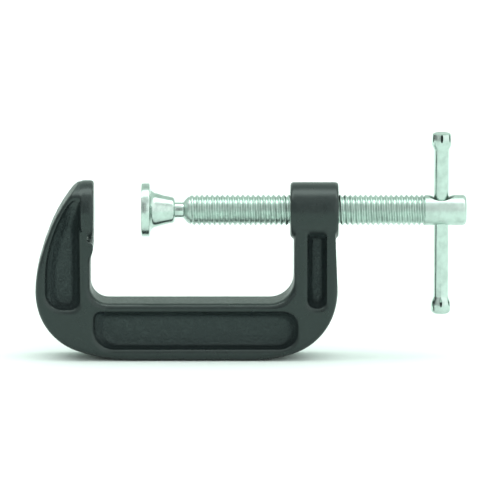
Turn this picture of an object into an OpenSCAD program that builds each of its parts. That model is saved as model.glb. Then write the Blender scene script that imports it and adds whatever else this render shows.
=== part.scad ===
// C clamp with a 2 inch opening: one cast frame, a screw with a plain drilled head, a
// swivel pad on the screw's ball end and a sliding T-bar.
//
// The frame stands on its spine. X runs along the screw from the anvil towards the handle,
// Z is up, and the origin is the centre of the anvil's face, which lies on the screw's axis.
// The screw is one real piece. It is drawn as a threaded shank, a neck and a ball that meet
// on flat faces, because the shank turns, the neck only travels and the ball lets the pad spin.

/* [Frame] */
// Gap between the anvil's face and the near end of the boss
throat_length = 61; // [58:1:70]
// Height of the screw's axis above the top of the spine
throat_depth = 28.7; // [26:0.1:31]
// Height of the spine's section
spine_height = 18; // [18:0.5:24]
// Width of the jaw across its foot, from its back to its inner edge
jaw_width = 17.2; // [17:0.1:20]
// Width of the arm that carries the boss
arm_width = 13.7; // [13.5:0.1:18]
// Width of the flanges, from front to back
flange_width = 14; // [12:0.5:17]
// Thickness of the web between the pockets
web_thickness = 5; // [4:0.5:8]
// Radius of the two outer corners
corner_radius = 22.5; // [20:0.5:24]
// Radius of the jaw's curved back
back_radius = 56; // [54:1:62]

/* [Anvil and boss] */
// Diameter of the anvil
anvil_diameter = 18.6; // [17:0.1:20]
// Thickness of the anvil
anvil_thickness = 4; // [3:0.5:5]
// Diameter of the boss
boss_diameter = 17.4; // [16:0.1:20]
// Length of the boss along the screw
boss_length = 15; // [14.5:0.1:20]

/* [Screw] */
// Outside diameter of the thread, 3/8 inch
thread_diameter = 9.525; // [9:0.025:10]
// Length of the threaded shank
shank_length = 74.8; // [72:0.2:84]
// Diameter of the plain head
head_diameter = 9.2; // [9:0.1:10]
// Length of the plain head
head_length = 12.8; // [12:0.2:16]
// Diameter of the neck between the shank and the ball
neck_diameter = 4.8; // [4.4:0.1:4.8]
// Diameter of the ball that the pad swivels on
ball_diameter = 7.2; // [7:0.1:7.2]
// Free space round the shank in the boss
thread_play = 0.05; // [0.02:0.01:0.1]

/* [Swivel pad] */
// Opening between the anvil and the pad as the clamp is drawn
jaw_opening = 14.8; // [4:0.1:45]
// Diameter of the pad's face
pad_diameter = 16.6; // [15:0.1:18]
// Thickness of the pad's rim
pad_rim = 2.6; // [2:0.1:3]

/* [T-bar] */
// Diameter of the bar
bar_diameter = 4.5; // [4:0.1:4.8]
// Length of the bar over both ends
bar_length = 57; // [50:1:70]
// Diameter of the swelled ends
bar_end_diameter = 6; // [5.6:0.1:7]
// How far the bar's middle lies below the screw
bar_drop = 4.2; // [0:0.1:8]

/* [Hidden] */
$fn = 96;

// frame
jaw_inner_x = -1.1;
jaw_back_x = jaw_inner_x - jaw_width;
arm_inner_x = throat_length + 0.9;
arm_outer_x = arm_inner_x + arm_width;
spine_top_z = -throat_depth;
spine_bottom_z = spine_top_z - spine_height;
jaw_top_z = 8.2;
arm_top_z = 0;
back_start_z = spine_bottom_z + 18.6;
jaw_cove_radius = 4.6;
arm_cove_radius = 6.2;

// pockets: depth, and the flange left round each one
pocket_depth = (flange_width - web_thickness) / 2;
spine_low_rim = 4.6;
spine_top_rim = 3.4;
spine_pocket_ends = [1.3, throat_length + 1.2];
arm_inner_rim = 5.3;
arm_outer_rim = 4.2;
jaw_inner_rim = 4.2;
jaw_back_rim = 3.2;
side_pocket_foot_z = spine_top_z - 0.7;

// screw and pad, from the pad's face towards the handle
pad_face_x = jaw_opening;
ball_x = pad_face_x + 7.6;
pad_end_x = pad_face_x + 10.4;
neck_x = ball_x + sqrt(pow(ball_diameter / 2, 2) - pow(neck_diameter / 2, 2));
shank_x = pad_face_x + 13.3;
head_x = shank_x + shank_length;
hole_x = head_x + 5;
hole_play = 0.1;
sink_radius = 4.3;
socket_play = 0.06;
mouth_radius = 2.95;

// Turns a shape that is drawn about Z so that Z lies along X, and moves it to x.
module along_x(x) {
    translate([x, 0, 0]) rotate([0, 90, 0]) children();
}

// A flat shape drawn in x and z, made thick from front to back.
module plate(thickness) {
    rotate([90, 0, 0]) linear_extrude(thickness, center = true) children();
}

// What a round corner leaves over of a square one; sx and sz point out of the corner.
module corner_waste(x, z, radius, sx, sz) {
    translate([x - sx * radius, z - sz * radius])
        difference() {
            quadrant(radius + 1, sx, sz);
            circle(radius);
        }
}

// A square beside the origin, on the sides that sx and sz give.
module quadrant(side, sx, sz) {
    translate([sx > 0 ? 0 : -side, sz > 0 ? 0 : -side]) square(side);
}

// What a cove adds in an inner corner; sx and sz point into the solid.
module cove(x, z, radius, sx, sz) {
    difference() {
        translate([x - (sx > 0 ? radius : 0), z - (sz > 0 ? radius : 0)]) square(radius);
        translate([x - sx * radius, z - sz * radius]) circle(radius);
    }
}

// The waste behind the jaw's back, which is one long arc that starts upright.
module jaw_back_waste() {
    reach = 40;
    difference() {
        translate([jaw_back_x - 1, back_start_z]) square([20, reach]);
        translate([jaw_back_x + back_radius, back_start_z]) circle(back_radius);
    }
}

module frame_outline() {
    difference() {
        translate([jaw_back_x, spine_bottom_z])
            square([arm_outer_x - jaw_back_x, jaw_top_z - spine_bottom_z]);
        corner_waste(jaw_back_x, spine_bottom_z, corner_radius, -1, -1);
        corner_waste(arm_outer_x, spine_bottom_z, corner_radius, 1, -1);
        jaw_back_waste();
        translate([jaw_inner_x, spine_top_z])
            square([arm_inner_x - jaw_inner_x, throat_depth + jaw_top_z + 1]);
        translate([arm_inner_x - 1, arm_top_z]) square([arm_width + 2, jaw_top_z + 1]);
    }
    cove(jaw_inner_x, spine_top_z, jaw_cove_radius, -1, -1);
    cove(arm_inner_x, spine_top_z, arm_cove_radius, 1, -1);
}

// A rectangle with its four corners rounded by the radii given, from low left, anticlockwise.
module rounded_box(x1, z1, x2, z2, radii) {
    difference() {
        translate([x1, z1]) square([x2 - x1, z2 - z1]);
        corner_waste(x1, z1, radii[0], -1, -1);
        corner_waste(x2, z1, radii[1], 1, -1);
        corner_waste(x2, z2, radii[2], 1, 1);
        corner_waste(x1, z2, radii[3], -1, 1);
    }
}

module spine_pocket() {
    rounded_box(spine_pocket_ends[0], spine_bottom_z + spine_low_rim,
                spine_pocket_ends[1], spine_top_z - spine_top_rim,
                [5, 4.5, 3.5, 1.5]);
}

module arm_pocket() {
    top_z = -6.5;
    rounded_box(arm_inner_x + arm_inner_rim, side_pocket_foot_z,
                arm_outer_x - arm_outer_rim, top_z,
                [2, 2, 0.5, 0.5]);
}

// The jaw's pocket tapers to a point below the anvil and follows the jaw's back.
module jaw_pocket() {
    top_z = 2;
    difference() {
        rounded_box(jaw_back_x + jaw_back_rim + 0.3, side_pocket_foot_z,
                    jaw_inner_x - jaw_inner_rim, top_z,
                    [3.6, 2.4, 0.5, 0.4]);
        translate([jaw_back_rim, 0]) jaw_back_waste();
    }
}

module frame_pockets() {
    for (side = [-1, 1])
        translate([0, side * (web_thickness / 2 + pocket_depth), 0])
            plate(2 * pocket_depth) {
                spine_pocket();
                arm_pocket();
                jaw_pocket();
            }
}

// Keeps the jaw's tip within the round of the anvil.
module jaw_tip_limit() {
    span = arm_outer_x - jaw_back_x + 2;
    along_x(jaw_back_x - 1) cylinder(h = span, d = anvil_diameter - 0.6);
    translate([jaw_back_x - 1, -flange_width, spine_bottom_z - 1])
        cube([span, 2 * flange_width, 1 - spine_bottom_z]);
}

// The cast frame: jaw with anvil, spine, arm with threaded boss.
module frame() {
    color("darkslategray")
        difference() {
            union() {
                intersection() {
                    plate(flange_width) frame_outline();
                    jaw_tip_limit();
                }
                along_x(-anvil_thickness) cylinder(h = anvil_thickness, d = anvil_diameter);
                along_x(throat_length) cylinder(h = boss_length, d = boss_diameter);
            }
            frame_pockets();
            along_x(throat_length - 1)
                cylinder(h = boss_length + 2, d = thread_diameter + 2 * thread_play);
        }
}

// The shank, with a tapered start, and the plain head with its cross hole for the bar.
module screw_shank() {
    thread_radius = thread_diameter / 2;
    head_radius = head_diameter / 2;
    start_taper = 1.5;
    end_chamfer = 1.2;
    color("lightsteelblue")
        difference() {
            along_x(shank_x)
                rotate_extrude()
                    polygon([
                        [0, 0],
                        [thread_radius - start_taper, 0],
                        [thread_radius, start_taper],
                        [thread_radius, shank_length],
                        [head_radius, shank_length],
                        [head_radius, shank_length + head_length - end_chamfer],
                        [head_radius - end_chamfer, shank_length + head_length],
                        [0, shank_length + head_length]
                    ]);
            translate([hole_x, 0, -head_radius - 1])
                cylinder(h = head_diameter + 2, d = bar_diameter + 2 * hole_play);
            translate([hole_x, 0, head_radius - sink_radius])
                cylinder(h = sink_radius + 1, r1 = 0, r2 = sink_radius + 1);
        }
}

// The plain neck, which travels with the screw.
module screw_neck() {
    color("silver")
        along_x(neck_x) cylinder(h = shank_x - neck_x, d = neck_diameter);
}

// The ball at the screw's end, cut flat where the neck leaves it.
module screw_ball() {
    color("gray")
        intersection() {
            translate([ball_x, 0, 0]) sphere(d = ball_diameter);
            along_x(ball_x - ball_diameter) cylinder(h = neck_x - ball_x + ball_diameter, d = 20);
        }
}

// Outside of the pad as a half section: x is the radius, y runs from the face to the mouth.
module pad_section() {
    bell_foot = 5.2;
    bell_top = 4;
    rim_radius = pad_diameter / 2;
    cove_radius = 2;
    lip = 0.8;
    difference() {
        polygon([
            [0, 0],
            [rim_radius, 0],
            [rim_radius, pad_rim],
            [bell_foot + cove_radius, pad_rim],
            [bell_foot, pad_rim + cove_radius],
            [bell_top, pad_end_x - pad_face_x - lip],
            [bell_top - lip, pad_end_x - pad_face_x],
            [0, pad_end_x - pad_face_x]
        ]);
        translate([bell_foot + cove_radius, pad_rim + cove_radius]) circle(cove_radius);
    }
}

// The swivel pad: a round face and a bell closed in over the ball.
module swivel_pad() {
    socket_radius = ball_diameter / 2 + socket_play;
    color("gainsboro")
        difference() {
            along_x(pad_face_x) rotate_extrude() pad_section();
            translate([ball_x, 0, 0]) sphere(r = socket_radius);
            along_x(ball_x) cylinder(h = pad_end_x - ball_x + 1, r = mouth_radius);
        }
}

// Half section of the bar: two swelled ends that taper back to the bar.
module bar_section() {
    r = bar_diameter / 2;
    big = bar_end_diameter / 2;
    half = bar_length / 2;
    end_length = 4;
    taper = 1.6;
    chamfer = 0.7;
    polygon([
        [0, -half],
        [big - chamfer, -half],
        [big, chamfer - half],
        [big, end_length - half],
        [r, end_length + taper - half],
        [r, half - end_length - taper],
        [big, half - end_length],
        [big, half - chamfer],
        [big - chamfer, half],
        [0, half]
    ]);
}

// The sliding bar that turns the screw.
module t_bar() {
    color("silver")
        translate([hole_x, 0, -bar_drop]) rotate_extrude() bar_section();
}

frame();
screw_shank();
screw_neck();
screw_ball();
swivel_pad();
t_bar();
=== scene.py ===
"""The C clamp's looks: an enamelled casting, a plated screw with a true thread, a swivel pad and a T-bar.

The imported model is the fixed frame. Every piece below is modelled round it, in metres, in its axes:
X along the screw from the anvil towards the handle, Z up, and the origin at the centre of the anvil's face.
"""

import math

import bmesh
import bpy
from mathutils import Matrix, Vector


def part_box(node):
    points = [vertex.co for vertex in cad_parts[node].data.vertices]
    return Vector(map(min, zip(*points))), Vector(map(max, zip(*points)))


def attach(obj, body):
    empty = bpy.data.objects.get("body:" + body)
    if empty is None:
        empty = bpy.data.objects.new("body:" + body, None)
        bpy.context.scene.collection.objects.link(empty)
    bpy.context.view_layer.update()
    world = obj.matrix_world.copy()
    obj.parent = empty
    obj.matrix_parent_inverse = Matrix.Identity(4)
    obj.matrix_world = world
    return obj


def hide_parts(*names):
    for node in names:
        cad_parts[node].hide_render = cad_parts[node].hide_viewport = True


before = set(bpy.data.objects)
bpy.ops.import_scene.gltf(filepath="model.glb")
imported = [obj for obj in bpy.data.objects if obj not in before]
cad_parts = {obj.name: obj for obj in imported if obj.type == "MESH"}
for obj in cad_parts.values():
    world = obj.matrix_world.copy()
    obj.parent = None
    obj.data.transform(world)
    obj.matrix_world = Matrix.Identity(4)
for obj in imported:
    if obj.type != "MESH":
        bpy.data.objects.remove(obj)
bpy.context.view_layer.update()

bl_info = {
    "name": "C clamp",
    "version": (1, 0, 0),
    "blender": (4, 5, 0),
    "location": "3D View > Sidebar > Clamp",
    "description": "Models and finishes the pieces of a C clamp round its packed frame",
    "category": "Object",
}

MM = 0.001
FRAME_LOW, FRAME_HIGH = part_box("frame")
SHANK_LOW, SHANK_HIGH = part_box("screw_shank")
NECK_LOW, NECK_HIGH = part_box("screw_neck")
PAD_LOW, PAD_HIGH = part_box("swivel_pad")
BAR_LOW, BAR_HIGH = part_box("t_bar")
BAR_X = (BAR_LOW.x + BAR_HIGH.x) / 2

# Sizes that the frame's boxes don't give.
BOSS_LENGTH = 15 * MM
BOSS_RADIUS = 8.7 * MM
BORE_RADIUS = 4.86 * MM
HEAD_LENGTH = 12.8 * MM
HEAD_RADIUS = 4.68 * MM
CROSS_HOLE_RADIUS = 2.35 * MM
BAR_RADIUS = 2.25 * MM
SOCKET_RADIUS = 3.66 * MM
BALL_FROM_PAD_END = 2.8 * MM
VIEW_CENTRE = Vector((48.5, 0, -12.7)) * MM

# Places closer than this count as the same place.
NEAR = 0.01 * MM


# ---------------------------------------------------------------- selecting and applying

def only(obj):
    """Make obj the one selected and active object."""
    bpy.ops.object.select_all(action="DESELECT")
    obj.select_set(True)
    bpy.context.view_layer.objects.active = obj


def place(obj):
    """Move the object's place, turn and size into its mesh."""
    only(obj)
    bpy.ops.object.transform_apply(location=True, rotation=True, scale=True)


def pick(obj, parts, test):
    """In edit mode, select the verts, edges or faces that pass the test, and nothing else."""
    bpy.ops.mesh.select_all(action="DESELECT")
    bpy.ops.mesh.select_mode(type={"verts": "VERT", "edges": "EDGE", "faces": "FACE"}[parts])
    mesh = bmesh.from_edit_mesh(obj.data)
    for part in getattr(mesh, parts):
        if test(part):
            part.select_set(True)
    bmesh.update_edit_mesh(obj.data)


def modifier(obj, kind, **settings):
    """Add a modifier and apply it."""
    only(obj)
    mod = obj.modifiers.new(kind.lower(), kind)
    for key, value in settings.items():
        setattr(mod, key, value)
    bpy.ops.object.modifier_apply(modifier=mod.name)


def combine(obj, other, operation):
    """Join, cut or trim obj with another solid, which is used up."""
    modifier(obj, "BOOLEAN", object=other, operation=operation, solver="EXACT")
    bpy.data.objects.remove(other, do_unlink=True)


def recalculate(obj, merge=0.001 * MM):
    """Merge doubles and point every face outwards."""
    only(obj)
    bpy.ops.object.mode_set(mode="EDIT")
    bpy.ops.mesh.select_all(action="SELECT")
    bpy.ops.mesh.remove_doubles(threshold=merge)
    bpy.ops.mesh.normals_make_consistent(inside=False)
    if bmesh.from_edit_mesh(obj.data).calc_volume(signed=True) < 0:
        bpy.ops.mesh.flip_normals()
    bpy.ops.object.mode_set(mode="OBJECT")


# ---------------------------------------------------------------- simple solids to start from

def block(name, low, high):
    """A box between two corners."""
    low, high = Vector(low), Vector(high)
    bpy.ops.object.select_all(action="DESELECT")
    bpy.ops.mesh.primitive_cube_add(size=1, location=(low + high) / 2)
    obj = bpy.context.object
    obj.name = name
    bpy.ops.transform.resize(value=high - low)
    place(obj)
    return obj


def rod(name, x1, x2, radius, edge=0.0, sides=96):
    """A cylinder along X, with both its rims rounded by edge."""
    bpy.ops.object.select_all(action="DESELECT")
    bpy.ops.mesh.primitive_cylinder_add(
        vertices=sides, radius=radius, depth=x2 - x1,
        location=((x1 + x2) / 2, 0, 0), rotation=(0, math.pi / 2, 0))
    obj = bpy.context.object
    obj.name = name
    place(obj)
    if edge:
        bpy.ops.object.mode_set(mode="EDIT")
        pick(obj, "edges", lambda e: abs(e.verts[0].co.x - e.verts[1].co.x) < NEAR)
        bpy.ops.mesh.bevel(offset=edge, segments=5, affect="EDGES")
        bpy.ops.object.mode_set(mode="OBJECT")
    return obj


def arc(station, radius, bend, start, stop, steps=8):
    """Points of a round stretch of a turned outline: its centre, its bend, and degrees from the axis."""
    turns = [math.radians(start + (stop - start) * i / steps) for i in range(steps + 1)]
    return [(station + bend * math.cos(t), radius + bend * math.sin(t)) for t in turns]


def turned(name, outline, axis="x", centre=(0, 0, 0), sides=96):
    """A solid turned on a lathe: a ring is extruded and resized from station to station.

    The outline is a list of (station along the axis, radius).
    """
    along = "xyz".index(axis)
    start = Vector(centre)
    start[along] += outline[0][0]
    bpy.ops.object.select_all(action="DESELECT")
    bpy.ops.mesh.primitive_circle_add(
        vertices=sides, radius=outline[0][1], fill_type="NOTHING", location=start,
        rotation=(0, math.pi / 2, 0) if axis == "x" else (0, 0, 0))
    obj = bpy.context.object
    obj.name = name
    place(obj)
    bpy.ops.object.mode_set(mode="EDIT")
    bpy.ops.mesh.select_mode(type="EDGE")
    bpy.ops.mesh.select_all(action="SELECT")
    middle = start.copy()
    for (s0, r0), (s1, r1) in zip(outline, outline[1:]):
        step = Vector((0, 0, 0))
        step[along] = s1 - s0
        middle += step
        bpy.ops.mesh.extrude_edges_move(TRANSFORM_OT_translate={"value": step})
        grow = Vector((r1 / r0,) * 3)
        grow[along] = 1
        bpy.ops.transform.resize(value=grow, center_override=middle)
    bpy.ops.mesh.select_all(action="DESELECT")
    bpy.ops.mesh.select_non_manifold()
    bpy.ops.mesh.fill_holes(sides=0)
    bpy.ops.object.mode_set(mode="OBJECT")
    recalculate(obj)
    return obj


def finish_piece(obj, body, nodes, finish, sharp=40):
    """Smooth the shading, and say what the piece rides on and stands for."""
    only(obj)
    bpy.ops.object.shade_smooth_by_angle(angle=math.radians(sharp))
    obj.data.materials.clear()
    obj.data.materials.append(finish)
    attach(obj, body)
    if nodes:
        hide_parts(*nodes)


# ---------------------------------------------------------------- shader maths

class Wire:
    """A socket that can stand in a formula: each operator adds the Math node that it needs."""

    def __init__(self, shades, socket):
        self.shades = shades
        self.socket = socket

    def __add__(self, other):
        return self.shades.maths("ADD", self, other)

    def __sub__(self, other):
        return self.shades.maths("SUBTRACT", self, other)

    def __rsub__(self, other):
        return self.shades.maths("SUBTRACT", other, self)

    def __mul__(self, other):
        return self.shades.maths("MULTIPLY", self, other)

    def __truediv__(self, other):
        return self.shades.maths("DIVIDE", self, other)

    def __rtruediv__(self, other):
        return self.shades.maths("DIVIDE", other, self)

    def __pow__(self, other):
        return self.shades.maths("POWER", self, other)

    def __abs__(self):
        return self.shades.maths("ABSOLUTE", self)

    __radd__ = __add__
    __rmul__ = __mul__

    def between(self, low, high):
        """0 up to low, 1 from high on, and a soft step in between."""
        return self.shades.make(
            "ShaderNodeMapRange", {"interpolation_type": "SMOOTHSTEP"},
            {"Value": self, "From Min": low, "From Max": high})


class Shades:
    """A node tree, with one method that makes any node."""

    def __init__(self, tree):
        self.tree = tree
        self.tree.nodes.clear()

    def make(self, kind, settings=None, sockets=None, out=0):
        node = self.tree.nodes.new(kind)
        for key, value in (settings or {}).items():
            setattr(node, key, value)
        for key, value in (sockets or {}).items():
            if isinstance(value, Wire):
                self.tree.links.new(value.socket, node.inputs[key])
            else:
                node.inputs[key].default_value = value
        return Wire(self, node.outputs[out]) if len(node.outputs) else None

    def maths(self, operation, *values):
        return self.make("ShaderNodeMath", {"operation": operation}, dict(enumerate(values)))

    def blend(self, factor, first, second):
        """A colour between two others."""
        return self.make(
            "ShaderNodeMix", {"data_type": "RGBA"},
            {0: factor, 6: rgba(first), 7: rgba(second)}, out=2)

    def here(self, scale=(1, 1, 1)):
        """The place on the object, stretched by scale."""
        spot = self.make("ShaderNodeTexCoord", out=3)
        return self.make("ShaderNodeMapping", None, {"Vector": spot, "Scale": scale})

    def noise(self, size, detail=3.0, stretch=(1, 1, 1), rough=0.5):
        """Noise whose grains are about size metres across."""
        return self.make(
            "ShaderNodeTexNoise", None,
            {"Vector": self.here(stretch), "Scale": 1 / size, "Detail": detail, "Roughness": rough})

    def split(self, spot):
        """The x, y and z of a vector."""
        return [self.make("ShaderNodeSeparateXYZ", None, {0: spot}, out=i) for i in range(3)]

    def axes(self):
        """The place on the object as x, y and z."""
        return self.split(self.here())

    def bump(self, height, depth):
        """A bump that stands depth metres high where height is 1."""
        return self.make("ShaderNodeBump", None, {"Height": height, "Distance": depth, "Strength": 1.0})


def rgba(colour):
    """A colour with its alpha, or the wire that carries one."""
    return colour if isinstance(colour, Wire) else (*colour[:3], 1.0)


def surface(name, build):
    """A new material. build(shades) returns the sockets of its one Principled shader."""
    material = bpy.data.materials.new(name)
    material.use_nodes = True
    shades = Shades(material.node_tree)
    shader = shades.make("ShaderNodeBsdfPrincipled", None, build(shades))
    shades.make("ShaderNodeOutputMaterial", None, {"Surface": shader})
    return material


def enamel(colour):
    """Glossy enamel over cast iron: soft waves all over, coarse sand grain in the pockets, and the pockets'
    colour lightened there as painted fill light against the shade on their walls.
    """
    deep = [0.8 * c for c in colour]

    def build(s):
        sand_and_painted_light = s.make("ShaderNodeAttribute", {"attribute_name": "cast_sand"}, out=2)
        waves = s.noise(3.2 * MM, detail=2.0)
        grain = s.noise(0.9 * MM, detail=5.0, rough=0.62)
        peel = s.noise(0.35 * MM, detail=2.0)
        cloud = s.noise(9 * MM, detail=3.0)
        lumps = grain.between(0.38, 0.66)
        height = waves * 0.5 + peel * 0.03 + lumps * sand_and_painted_light * 0.9
        tone = (cloud * 0.6 + lumps * 0.4).between(0.2, 0.8)
        # In the pockets the colour is lightened towards 2.6 times the enamel: painted fill light against
        # the shade on their walls.
        colour_with_painted_pocket_light = s.blend(sand_and_painted_light * 0.6, s.blend(tone, deep, colour), [2.6 * c for c in colour])
        return {
            "Base Color": colour_with_painted_pocket_light,
            "Roughness": 0.24 + cloud * 0.08 + sand_and_painted_light * (0.12 + lumps * 0.12),
            "Specular IOR Level": 0.5,
            "Specular Tint": (0.84, 1.0, 0.94, 1),
            "Normal": s.bump(height, 0.16 * MM),
        }

    return surface("dark_enamel", build)


def plating(name, colour, marks, roughness=0.17, shade=None):
    """Bright plated steel. marks(shades) gives the height of the tool marks under the plating.

    shade(shades), where there is one, is 1 in the hollows, which are painted dark there as shade.
    """
    dull = [0.82 * c for c in colour]
    painted_shade_colour = [0.12 * c for c in colour]

    def build(s):
        cloud = s.noise(2.4 * MM, detail=4.0)
        pits = s.noise(0.5 * MM, detail=3.0).between(0.62, 0.74)
        tone = s.blend(cloud.between(0.35, 0.7), colour, dull)
        return {
            # The hollows that shade(shades) gives are painted dark with the painted shade colour.
            "Base Color": s.blend(shade(s), tone, painted_shade_colour) if shade else tone,
            "Metallic": 1.0,
            "Roughness": roughness + cloud * 0.1 + pits * 0.12,
            "Normal": s.bump(marks(s) + pits * -0.2, 0.012 * MM),
        }

    return surface(name, build)


def rings(s):
    """Fine lathe marks round the screw's axis."""
    return s.noise(1.0 * MM, detail=4.0, stretch=(9, 0.05, 0.05))


def drawn(s):
    """Fine lines along the bar, from drawing it through a die."""
    return s.noise(1.0 * MM, detail=4.0, stretch=(5, 5, 0.12))


def countersink_painted_shade(s):
    """1 in the countersink round the screw's cross hole, which is painted dark there as shade."""
    x, y, z = s.axes()
    from_axis = (y * y + z * z) ** 0.5
    near_hole = 1 - abs(x - BAR_X).between(4.4 * MM, 4.9 * MM)
    return near_hole * (1 - from_axis.between(HEAD_RADIUS - 0.7 * MM, HEAD_RADIUS - 0.12 * MM)) * 0.9


def dent_painted_shade(s):
    """1 in the dents of the bar's swelled ends, which are painted dark there as shade."""
    x, y, z = s.axes()
    from_axis = ((x - BAR_X) ** 2 + y * y) ** 0.5
    big = BAR_HIGH.x - BAR_X
    from_top = BAR_HIGH.z - z
    top = from_top.between(0.3 * MM, 0.4 * MM) * (1 - from_top.between(3.7 * MM, 4 * MM))
    from_foot = z - BAR_LOW.z
    foot = from_foot.between(1.2 * MM, 1.3 * MM) * (1 - from_foot.between(3.6 * MM, 3.9 * MM))
    return (top + foot) * (1 - from_axis.between(big - 0.5 * MM, big - 0.25 * MM)) * 0.95


# ---------------------------------------------------------------- settings

class ClampFrameSettings(bpy.types.PropertyGroup):
    flange_width: bpy.props.FloatProperty(
        name="Flange width", description="Width of the casting's flanges, from front to back",
        default=14 * MM, min=10 * MM, unit="LENGTH")
    web_thickness: bpy.props.FloatProperty(
        name="Web thickness", description="Thickness left between the pockets",
        default=5 * MM, min=2 * MM, unit="LENGTH")
    edge_radius: bpy.props.FloatProperty(
        name="Edge radius", description="Rounding of the flanges' outer edges",
        default=1.9 * MM, min=0.5 * MM, unit="LENGTH")
    throat_radius: bpy.props.FloatProperty(
        name="Throat radius", description="Rounding of the flanges' edges round the throat",
        default=2.1 * MM, min=0.5 * MM, unit="LENGTH")
    grain: bpy.props.FloatProperty(
        name="Mesh grain", description="Size of the faces that the casting is made of",
        default=0.385 * MM, min=0.3 * MM, unit="LENGTH")
    colour: bpy.props.FloatVectorProperty(
        name="Enamel", description="Colour of the enamel", subtype="COLOR", size=3,
        default=(0.010, 0.0145, 0.0150), min=0, max=1)


class ClampMetalSettings(bpy.types.PropertyGroup):
    pitch: bpy.props.FloatProperty(
        name="Pitch", description="Distance from one crest of the thread to the next",
        default=1.5875 * MM, min=0.5 * MM, unit="LENGTH")
    thread_depth: bpy.props.FloatProperty(
        name="Thread depth", description="Height of the thread from root to crest",
        default=0.66 * MM, min=0.2 * MM, unit="LENGTH")
    dents: bpy.props.IntProperty(
        name="Dents", description="Crimp dents round each end of the bar", default=6, min=3, max=12)
    colour: bpy.props.FloatVectorProperty(
        name="Plating", description="Colour of the bright plating", subtype="COLOR", size=3,
        default=(0.525, 0.635, 0.585), min=0, max=1)


class ClampStageSettings(bpy.types.PropertyGroup):
    elevation: bpy.props.FloatProperty(
        name="Camera height", description="Angle of the camera above the horizon",
        default=math.radians(12), subtype="ANGLE")
    distance: bpy.props.FloatProperty(
        name="Camera distance", description="Distance from the camera to the clamp",
        default=2.0, min=0.3, unit="LENGTH")
    view_width: bpy.props.FloatProperty(
        name="View width", description="Width of the view at the clamp",
        default=155.5 * MM, min=100 * MM, unit="LENGTH")


# ---------------------------------------------------------------- the casting

def path(start, heading, moves):
    """Points of a flat outline in x and z, in metres.

    A move is a point to go straight to, or (radius, degrees): an arc that turns left,
    or right where the degrees are negative. The heading is in degrees from +X.
    """
    spots = [Vector(start)]
    for move in moves:
        if isinstance(move, tuple):
            radius, sweep = move
            steps = max(2, round(abs(sweep) / 5))
            side = math.copysign(1, sweep)
            turn = math.radians(heading)
            centre = spots[-1] + side * radius * Vector((-math.sin(turn), math.cos(turn)))
            for i in range(1, steps + 1):
                turn = math.radians(heading + sweep * i / steps)
                spots.append(centre + side * radius * Vector((math.sin(turn), -math.cos(turn))))
            heading += sweep
        else:
            spots.append(Vector(move))
            heading = math.degrees(math.atan2(*reversed(spots[-1] - spots[-2])))
    return spots


def plate(name, outline, y1, y2):
    """A flat outline drawn point by point, filled, and extruded from y1 to y2."""
    bpy.ops.object.select_all(action="DESELECT")
    bpy.ops.mesh.primitive_plane_add(size=MM, location=(outline[0].x, y1, outline[0].y))
    obj = bpy.context.object
    obj.name = name
    place(obj)
    bpy.ops.object.mode_set(mode="EDIT")
    bpy.ops.mesh.select_mode(type="VERT")
    bpy.ops.mesh.select_all(action="SELECT")
    bpy.ops.mesh.merge(type="CENTER")
    for a, b in zip(outline, outline[1:]):
        bpy.ops.mesh.extrude_vertices_move(TRANSFORM_OT_translate={"value": (b.x - a.x, 0, b.y - a.y)})
    bpy.ops.mesh.select_all(action="SELECT")
    bpy.ops.mesh.edge_face_add()
    bpy.ops.mesh.extrude_region_move(TRANSFORM_OT_translate={"value": (0, y2 - y1, 0)})
    bpy.ops.mesh.select_all(action="SELECT")
    bpy.ops.mesh.normals_make_consistent(inside=False)
    bpy.ops.object.mode_set(mode="OBJECT")
    return obj


def round_edges(obj, radius, segments, test):
    """Round the edges that pass the test."""
    only(obj)
    bpy.ops.object.mode_set(mode="EDIT")
    pick(obj, "edges", test)
    bpy.ops.mesh.bevel(offset=radius, segments=segments, affect="EDGES")
    bpy.ops.object.mode_set(mode="OBJECT")


def at(x, z):
    """A point of an outline, given in mm."""
    return Vector((x, z)) * MM


def bend(radius, degrees):
    """An arc of an outline: its radius, given in mm, and how far it turns."""
    return radius * MM, degrees


class CastingPlan:
    """The places that the casting's outline and pockets are built on. Outlines are in mm."""

    def __init__(self, settings):
        self.half = settings.flange_width / 2
        self.floor = settings.web_thickness / 2
        self.base = FRAME_LOW.z / MM
        self.spine_top = self.base + 18.15
        self.boss_x = FRAME_HIGH.x - BOSS_LENGTH
        self.anvil_radius = FRAME_HIGH.z

    def back(self):
        """From the spine's underside round the low corner and up the jaw's back to its tip."""
        return path(at(11.5, self.base), 180, [
            bend(50, -20), bend(19, -55), bend(22, -15), bend(37, -14), bend(80, -9), bend(46, -18),
            at(-4.6, 8.9)])

    def front(self):
        """From the spine's underside round the arm to the top of the arm, inside the boss."""
        return path(at(49.4, self.base), 0, [
            bend(40, 18), bend(20, 54), bend(24, 18), at(75, -6), at(75, 0), at(62.1, 0)])

    def throat(self):
        """Down the arm's inner edge, along the spine and up the jaw to the anvil."""
        top = self.spine_top
        return path(at(62.1, -9), -90, [
            at(62.1, top + 7.5), bend(7.5, -90), at(4.5, top), bend(5.6, -90), at(-1.1, -15.5),
            at(-0.4, -12.4), at(-0.1, -11.3), at(-0.2, -9.6), at(-2, -8.4), at(-2, 8.9)])


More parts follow.
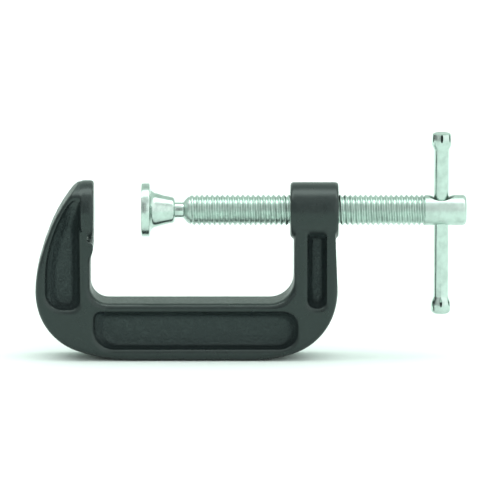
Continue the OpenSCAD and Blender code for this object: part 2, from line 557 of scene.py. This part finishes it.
def casting_body(plan, settings):
    """The C with its two round corners, leaning jaw, throat and rounded flanges."""
    reach = 20 * MM
    outer, inner = settings.edge_radius, settings.throat_radius
    outline = plan.front() + plan.throat() + plan.back()[::-1]
    body = plate("casting", outline, -plan.half, plan.half)
    hidden = -8.5 * MM

    def on_face(edge):
        a, b = (v.co for v in edge.verts)
        low = max(a.z, b.z) < (8.4 * MM if a.x < 0 else hidden)
        return abs(abs(a.y) - plan.half) < NEAR and abs(a.y - b.y) < NEAR and low

    def in_throat(edge):
        x, z = ((edge.verts[0].co + edge.verts[1].co) / 2).xz
        return -1.15 * MM < x < 62.2 * MM and (plan.spine_top - 0.1) * MM < z < -12.5 * MM

    def on_back(edge):
        x, z = ((edge.verts[0].co + edge.verts[1].co) / 2).xz
        return not in_throat(edge) and (x < -4.2 * MM or z < (plan.spine_top - 1) * MM or x > 70 * MM)

    round_edges(body, outer, 6, lambda e: on_face(e) and on_back(e))
    round_edges(body, inner, 8, lambda e: on_face(e) and in_throat(e))
    collar = block("collar", (FRAME_LOW.x, -reach, 0), (-1 * MM, reach, reach))
    combine(collar, rod("tip", FRAME_LOW.x - reach, reach, plan.anvil_radius - 0.35 * MM), "DIFFERENCE")
    combine(body, collar, "DIFFERENCE")
    recalculate(body)
    return body


def pocket(name, outline, plan, side, scale, shift, fillet):
    """A cutter for one pocket: a small fillet round its floor, sloping walls and a soft lip."""
    lip = 0.9 * MM
    mouth_y, floor_y = side * (plan.half - lip), side * plan.floor
    obj = plate(name, outline, mouth_y, floor_y)
    only(obj)
    bpy.ops.object.mode_set(mode="EDIT")
    pick(obj, "faces", lambda f: abs(f.calc_center_median().y - floor_y) < NEAR)
    spots = [v.co.copy() for v in obj.data.vertices]
    middle = [(min(c[i] for c in spots) + max(c[i] for c in spots)) / 2 for i in range(3)]
    bpy.ops.transform.resize(value=(scale[0], 1, scale[1]), center_override=middle)
    bpy.ops.transform.translate(value=(shift[0] * MM, 0, shift[1] * MM))
    pick(obj, "edges", lambda e: all(abs(v.co.y - floor_y) < NEAR for v in e.verts))
    bpy.ops.mesh.bevel(offset=fillet, segments=3, affect="EDGES")
    pick(obj, "faces", lambda f: abs(f.calc_center_median().y - mouth_y) < NEAR)
    width, height = (max(c[i] for c in spots) - min(c[i] for c in spots) for i in (0, 2))
    for grow, rise in ((0.25 * MM, lip / 2), (0.75 * MM, lip / 2), (0, 2 * MM)):
        wide = (1 + 2 * grow / width, 1 + 2 * grow / height)
        bpy.ops.mesh.extrude_region_move(TRANSFORM_OT_translate={"value": (0, side * rise, 0)})
        bpy.ops.transform.resize(value=(wide[0], 1, wide[1]), center_override=middle)
    bpy.ops.object.mode_set(mode="OBJECT")
    recalculate(obj)
    return obj


def pocket_cutters(plan):
    """Six tapered cutters, three on each side: spine, arm and jaw."""
    low, high = plan.base + 3.8, plan.spine_top - 2.7
    left, right = 0, 63.3
    spine = path(at(left + 6, low), 0, [
        at(right - 5.5, low), bend(5.5, 90), at(right, high - 4.6), bend(4.6, 90),
        at(left + 2, high), bend(2, 90), at(left, low + 6), bend(6, 85)])
    low, high = plan.base + 16.8, -5.6
    left, right = 66.6, 72.1
    arm = path(at(left + 2.4, low), 0, [
        at(right - 2.4, low), bend(2.4, 90), at(right, high), at(left, high),
        at(left, low + 2.4), bend(2.4, 85)])
    low = plan.base + 16.3
    jaw = path(at(-9.6, low), 180, [
        bend(5.3, -90), at(-14.9, low + 9.3), bend(44, -33), at(-6.4, 4.1), at(-4.7, 3.4),
        at(-4.5, low + 3), bend(3, -85)])
    for side in (-1, 1):
        yield pocket("spine_pocket", spine, plan, side,
                     scale=(0.915, 0.785), shift=(0.4, -0.8), fillet=0.9 * MM)
        yield pocket("arm_pocket", arm, plan, side,
                     scale=(0.53, 0.875), shift=(0, 0.15), fillet=0.55 * MM)
        yield pocket("jaw_pocket", jaw, plan, side,
                     scale=(0.47, 0.72), shift=(0.4, -3.3), fillet=0.45 * MM)


def mark_sand_and_painted_light(obj, plan):
    """Write how sandy each point of the casting is, which also sets where its colour is lightened as
    painted fill light: 1 in the pockets, 0 elsewhere.
    """
    rim = 1.2 * MM
    rough = obj.data.attributes.new("cast_sand", "FLOAT", "POINT")
    for vertex, value in zip(obj.data.vertices, rough.data):
        x, y, z = vertex.co
        deep = min(1.0, max(0.0, (plan.half - rim - abs(y)) / MM))
        level = min(1.0, 0.45 + max(0.0, (abs(vertex.normal.y) - 0.5) / 0.5))
        round_part = z > -5.4 * MM and (x > plan.boss_x - MM or x > -4.2 * MM)
        value.value = 0.0 if round_part else deep * level


def build_casting(settings):
    plan = CastingPlan(settings)
    body = casting_body(plan, settings)
    for cutter in pocket_cutters(plan):
        combine(body, cutter, "DIFFERENCE")
    combine(body, rod("anvil", -4 * MM, 0, plan.anvil_radius, edge=0.7 * MM), "UNION")
    combine(body, rod("boss", plan.boss_x, FRAME_HIGH.x, BOSS_RADIUS, edge=MM), "UNION")
    combine(body, rod("bore", plan.boss_x - MM, FRAME_HIGH.x + MM, BORE_RADIUS), "DIFFERENCE")
    recalculate(body)
    modifier(body, "REMESH", mode="VOXEL", voxel_size=settings.grain)
    modifier(body, "SMOOTH", factor=0.5, iterations=4)
    mark_sand_and_painted_light(body, plan)
    finish_piece(body, "frame", ["frame"], enamel(settings.colour), sharp=60)
    return body


# ---------------------------------------------------------------- the plated pieces

def thread(low_x, high_x, crest, depth, pitch):
    """A rolled thread along X: one pitch of its outline, wound up past both ends, and closed there."""
    root = crest - depth
    outline = ((0, root), (0.1, root + 0.05 * depth), (0.4, crest - 0.12 * depth), (0.46, crest),
               (0.54, crest), (0.6, crest - 0.12 * depth), (0.9, root + 0.05 * depth), (1, root))
    bpy.ops.object.select_all(action="DESELECT")
    bpy.ops.mesh.primitive_plane_add(size=MM, location=(low_x - 2 * pitch, 0, root))
    obj = bpy.context.object
    obj.name = "thread"
    place(obj)
    bpy.ops.object.mode_set(mode="EDIT")
    bpy.ops.mesh.select_mode(type="VERT")
    bpy.ops.mesh.select_all(action="SELECT")
    bpy.ops.mesh.merge(type="CENTER")
    for (s0, r0), (s1, r1) in zip(outline, outline[1:]):
        step = ((s1 - s0) * pitch, 0, r1 - r0)
        bpy.ops.mesh.extrude_vertices_move(TRANSFORM_OT_translate={"value": step})
    bpy.ops.object.mode_set(mode="OBJECT")
    turns = math.ceil((high_x - low_x) / pitch) + 4
    modifier(obj, "SCREW", axis="X", angle=math.tau, screw_offset=pitch, iterations=turns,
             steps=40, render_steps=40)
    recalculate(obj)
    bpy.ops.object.mode_set(mode="EDIT")
    bpy.ops.mesh.select_mode(type="EDGE")
    bpy.ops.mesh.select_all(action="DESELECT")
    bpy.ops.mesh.select_non_manifold()
    bpy.ops.mesh.fill_holes(sides=0)
    bpy.ops.object.mode_set(mode="OBJECT")
    recalculate(obj)
    return obj


def build_screw(settings):
    """The threaded shank with its tapered start, and the plain head with its cross hole."""
    crest = SHANK_HIGH.z
    start, end = SHANK_LOW.x, SHANK_HIGH.x
    end_round = 1.3 * MM
    head_x = end - HEAD_LENGTH
    core = crest - settings.thread_depth - 0.02 * MM
    shank = thread(start, head_x, crest, settings.thread_depth, settings.pitch)
    envelope = turned("envelope", [
        (start, crest - 1.9 * MM), (start + 0.9 * MM, crest - 0.95 * MM),
        (start + 2.1 * MM, crest - 0.23 * MM), (start + 3 * MM, crest + 0.05 * MM),
        (head_x + 0.4 * MM, crest + 0.05 * MM)])
    combine(shank, envelope, "INTERSECT")
    head = turned("head", [
        (head_x - 1.6 * MM, core - 0.1 * MM), (head_x - 0.5 * MM, core), (head_x, HEAD_RADIUS),
        *arc(end - end_round, HEAD_RADIUS - end_round, end_round, 90, 0, 6)])
    combine(shank, head, "UNION")
    bpy.ops.object.select_all(action="DESELECT")
    bpy.ops.mesh.primitive_cylinder_add(
        vertices=64, radius=CROSS_HOLE_RADIUS, depth=12 * MM, location=(BAR_X, 0, 0))
    hole = bpy.context.object
    place(hole)
    combine(shank, hole, "DIFFERENCE")
    sink = turned("sink", [(0.5 * MM, 0.2 * MM), (6 * MM, 5.7 * MM)], axis="z", centre=(BAR_X, 0, 0))
    combine(shank, sink, "DIFFERENCE")
    recalculate(shank)
    shank.name = "screw"
    # The countersink round the cross hole is painted dark as shade.
    finish_piece(shank, "screw", ["screw_shank"],
                 plating("plated_thread", settings.colour, rings, 0.27, shade=countersink_painted_shade), sharp=30)


def build_neck(settings):
    """The plain neck, with a small fillet where it meets the shank."""
    low, high = NECK_LOW.x, NECK_HIGH.x
    radius = NECK_HIGH.z
    neck = turned("neck", [
        (low, radius), (high - 0.7 * MM, radius - 0.05 * MM),
        *[(x, max(r, radius - 0.05 * MM)) for x, r in
          arc(high - 0.5 * MM, radius + 0.5 * MM, 0.5 * MM, 270, 350, 6)]], sides=64)
    finish_piece(neck, "neck", ["screw_neck"],
                 plating("plated_neck", settings.colour, rings, 0.12))


def build_pad(settings):
    """The swivel pad: a round face, a cove, and a bell closed in over the ball."""
    face = PAD_LOW.x
    rim = PAD_HIGH.z
    end = PAD_HIGH.x
    pad = turned("swivel_pad_turned", [
        (face, 0.4 * MM), (face, rim - 0.9 * MM),
        *arc(face + 0.35 * MM, rim - 0.35 * MM, 0.35 * MM, 180, 90, 4),
        *arc(face + 2.2 * MM, rim - 0.4 * MM, 0.4 * MM, 90, 10, 4),
        *arc(face + 5.0 * MM, rim - 0.75 * MM, 2.35 * MM, 185, 262, 10),
        (face + 7 * MM, 4.55 * MM),
        *arc(end - 1.2 * MM, 2.85 * MM, 1.2 * MM, 80, 0, 8),
        (end, 3.0 * MM), (end - 0.5 * MM, 2.95 * MM), (end - 0.9 * MM, 2.95 * MM)])
    bpy.ops.object.select_all(action="DESELECT")
    bpy.ops.mesh.primitive_uv_sphere_add(
        segments=64, ring_count=32, radius=SOCKET_RADIUS, location=(end - BALL_FROM_PAD_END, 0, 0))
    socket = bpy.context.object
    place(socket)
    combine(pad, socket, "DIFFERENCE")
    recalculate(pad)
    finish_piece(pad, "pad", ["swivel_pad"],
                 plating("plated_pad", settings.colour, rings, 0.15), sharp=35)


def build_bar(settings):
    """The sliding bar. Its ends are swelled by crimping, which leaves a ring of dents."""
    low, high = BAR_LOW.z, BAR_HIGH.z
    radius = BAR_RADIUS
    big = BAR_HIGH.x - BAR_X
    bar = turned("bar", [
        (low, 0.5 * MM), (low, big - 1.3 * MM), *arc(low + 1.1 * MM, big - 1.1 * MM, 1.1 * MM, 180, 90, 6),
        (low + 2.6 * MM, big), (low + 3.6 * MM, big - 0.15 * MM), (low + 5.0 * MM, radius + 0.1 * MM),
        (low + 5.5 * MM, radius), (high - 5.6 * MM, radius), (high - 5.1 * MM, radius + 0.1 * MM),
        (high - 4.0 * MM, big - 0.1 * MM), (high - 3.5 * MM, big), (high - 0.5 * MM, big - 0.15 * MM),
        (high - 0.15 * MM, big - 0.35 * MM), (high, big - 0.7 * MM), (high, 0.5 * MM)],
        axis="z", centre=(BAR_X, 0, 0), sides=72)
    for end_z, lean in ((high - 1.2 * MM, -1), (low + 3.7 * MM, 1)):
        for i in range(settings.dents):
            turn = math.tau * i / settings.dents + math.pi / 2
            combine(bar, dent(end_z, big, turn, lean), "DIFFERENCE")
    recalculate(bar)
    # The dents in the bar's swelled ends are painted dark as shade.
    finish_piece(bar, "handle", ["t_bar"],
                 plating("plated_bar", settings.colour, drawn, 0.14, shade=dent_painted_shade), sharp=35)


def dent(z, radius, turn, lean):
    """One crimp dent's cutter: a wedge that bites into the bar's swelled end."""
    bpy.ops.object.select_all(action="DESELECT")
    out = Vector((math.cos(turn), math.sin(turn), 0))
    bpy.ops.mesh.primitive_uv_sphere_add(
        segments=24, ring_count=16, radius=MM, location=(0, 0, 0))
    wedge = bpy.context.object
    bpy.ops.transform.resize(value=(0.85, 0.4, 1.45))
    place(wedge)
    wedge.rotation_euler = (0, lean * math.radians(-9), turn)
    wedge.location = Vector((BAR_X, 0, z)) + out * (radius - 0.05 * MM)
    place(wedge)
    return wedge


# ---------------------------------------------------------------- the stage

def build_stage(settings):
    build_floor()
    build_studio()
    build_camera(settings)


def build_floor():
    bpy.ops.object.select_all(action="DESELECT")
    bpy.ops.mesh.primitive_plane_add(size=8, location=(0.05, 0, FRAME_LOW.z - 0.02 * MM))
    floor = bpy.context.object
    floor.name = "floor"
    floor.data.materials.append(surface("pale_floor", lambda s: {
        "Base Color": (0.79, 0.86, 0.83, 1), "Roughness": 0.9, "Specular IOR Level": 0.1}))


def build_studio():
    """A pale room: bright overhead, with its lower edge showing in the plating, and a dim card in front."""
    world = bpy.data.worlds.new("studio")
    bpy.context.scene.world = world
    world.use_nodes = True
    s = Shades(world.node_tree)
    x, y, z = s.split(s.make("ShaderNodeTexCoord", out=0))
    above = z.between(0.64, 0.72)
    behind = y.between(0.2, 0.5)
    zenith = 1 - abs(y).between(0.08, 0.36)
    right = x.between(0.024, 0.0315)
    card = (1 - right) * (x + 0.32).between(0, 0.12) * (1 - y.between(-0.3, -0.1))
    dark_side = (0 - x).between(0.75, 0.97)
    room = (0.8 + right * 0.7 + behind * (0.15 - right * 0.7) - dark_side * 0.45) * (1 - card * 0.5)
    over = 1.1 + zenith * 3.0 - behind * 0.25
    light = room * (1 - above) + over * above
    seen = s.make("ShaderNodeLightPath", out=0)
    tint = s.blend(behind, (0.95, 1.0, 0.98), (0.82, 1.0, 0.90))
    dim = s.make("ShaderNodeBackground", None, {"Color": tint, "Strength": light})
    plain = s.make("ShaderNodeBackground", None, {"Color": (1, 1, 1, 1), "Strength": 1.0})
    both = s.make("ShaderNodeMixShader", None, {0: seen, 1: dim, 2: plain})
    s.make("ShaderNodeOutputWorld", None, {"Surface": both})
    bpy.context.scene.view_settings.view_transform = "Standard"


def build_camera(settings):
    lift = settings.elevation
    back = Vector((0, -math.cos(lift), math.sin(lift)))
    bpy.ops.object.camera_add(location=VIEW_CENTRE + back * settings.distance)
    camera = bpy.context.object
    camera.rotation_mode = "QUATERNION"
    camera.rotation_quaternion = (-back).to_track_quat("-Z", "Y")
    camera.data.sensor_width = 36
    camera.data.lens = 36 * settings.distance / settings.view_width
    camera.data.clip_start, camera.data.clip_end = 0.05, 20
    bpy.context.scene.camera = camera


# ---------------------------------------------------------------- operators and panel

class CLAMP_OT_casting(bpy.types.Operator):
    """Model the cast frame with its anvil, boss and pockets"""
    bl_idname = "clamp.casting"
    bl_label = "Cast frame"

    def execute(self, context):
        build_casting(context.scene.clamp_frame)
        return {"FINISHED"}


class CLAMP_OT_screw(bpy.types.Operator):
    """Model the screw: thread, head, neck, and the finish of its ball"""
    bl_idname = "clamp.screw"
    bl_label = "Screw"

    def execute(self, context):
        settings = context.scene.clamp_metal
        build_screw(settings)
        build_neck(settings)
        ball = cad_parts["screw_ball"]
        ball.data.materials.clear()
        ball.data.materials.append(plating("plated_ball", settings.colour, rings, 0.2))
        return {"FINISHED"}


class CLAMP_OT_pad(bpy.types.Operator):
    """Model the swivel pad"""
    bl_idname = "clamp.pad"
    bl_label = "Swivel pad"

    def execute(self, context):
        build_pad(context.scene.clamp_metal)
        return {"FINISHED"}


class CLAMP_OT_bar(bpy.types.Operator):
    """Model the sliding T-bar with its crimped ends"""
    bl_idname = "clamp.bar"
    bl_label = "T-bar"

    def execute(self, context):
        build_bar(context.scene.clamp_metal)
        return {"FINISHED"}


class CLAMP_OT_stage(bpy.types.Operator):
    """Set up the floor, the studio light and the camera"""
    bl_idname = "clamp.stage"
    bl_label = "Stage"

    def execute(self, context):
        build_stage(context.scene.clamp_stage)
        return {"FINISHED"}


class CLAMP_PT_pieces(bpy.types.Panel):
    """The clamp's settings, and a button for each piece"""
    bl_idname = "CLAMP_PT_pieces"
    bl_label = "C clamp"
    bl_space_type = "VIEW_3D"
    bl_region_type = "UI"
    bl_category = "Clamp"

    def draw(self, context):
        scene = context.scene
        for group in (scene.clamp_frame, scene.clamp_metal, scene.clamp_stage):
            box = self.layout.box()
            for name in group.__annotations__:
                box.prop(group, name)
        for operator in OPERATORS:
            self.layout.operator(operator.bl_idname)


SETTINGS = {
    "clamp_frame": ClampFrameSettings,
    "clamp_metal": ClampMetalSettings,
    "clamp_stage": ClampStageSettings,
}
OPERATORS = (CLAMP_OT_casting, CLAMP_OT_screw, CLAMP_OT_pad, CLAMP_OT_bar, CLAMP_OT_stage)


def register():
    for kind in (*SETTINGS.values(), *OPERATORS, CLAMP_PT_pieces):
        bpy.utils.register_class(kind)
    for name, kind in SETTINGS.items():
        setattr(bpy.types.Scene, name, bpy.props.PointerProperty(type=kind))


def unregister():
    for name in SETTINGS:
        delattr(bpy.types.Scene, name)
    for kind in (CLAMP_PT_pieces, *reversed(OPERATORS), *SETTINGS.values()):
        bpy.utils.unregister_class(kind)


def main():
    register()
    bpy.ops.clamp.casting()
    bpy.ops.clamp.screw()
    bpy.ops.clamp.pad()
    bpy.ops.clamp.bar()
    bpy.ops.clamp.stage()


if __name__ == "__main__":
    main()
